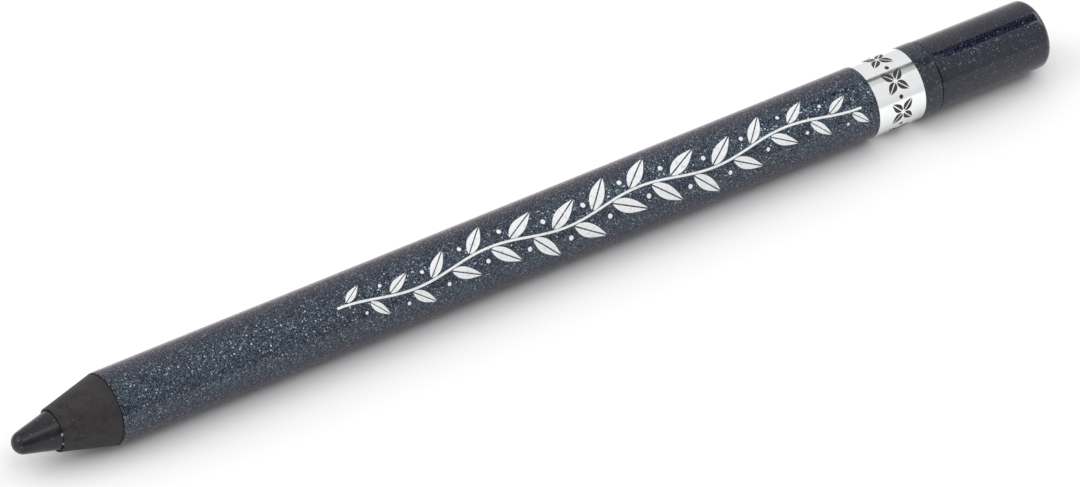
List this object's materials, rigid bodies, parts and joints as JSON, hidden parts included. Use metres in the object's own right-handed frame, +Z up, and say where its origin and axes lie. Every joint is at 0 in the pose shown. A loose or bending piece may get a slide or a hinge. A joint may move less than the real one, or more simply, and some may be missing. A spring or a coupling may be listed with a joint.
{
  "type": "eyeliner pencil",
  "caption": "Round sharpenable eyeliner pencil with a cast soft lead, matt cone, flake-lacquered barrel, silver band and a press-in end plug.",
  "frame": {"origin": "on the table under the middle of the pencil, which lies on its side", "axes": "+X along the pencil from the tip of the lead to the rear plug, +Z up from the table"},
  "size_m": [0.129, 0.008, 0.008],
  "materials": {
    "charcoal_plastic": "matt, machined",
    "black_film": "satin",
    "kohl_wax": "satin wax",
    "flake_lacquer": "gloss lacquer with silver flakes",
    "silver_foil": "hot-stamped foil, aluminium on a film",
    "flake_plastic": "gloss moulding with sparse flakes"
  },
  "bodies": {
    "pencil": {"sheath": "charcoal_plastic", "barrier_liner": "black_film", "kohl_lead": "kohl_wax", "glitter_lacquer": "flake_lacquer", "silver_band": "silver_foil"},
    "plug": {"end_plug": "flake_plastic"}
  },
  "joints": [
    {"name": "plug_pull", "type": "slide", "parent": "pencil", "child": "plug", "axis": [1, 0, 0], "range_m": [0, 0.014]}
  ]
}
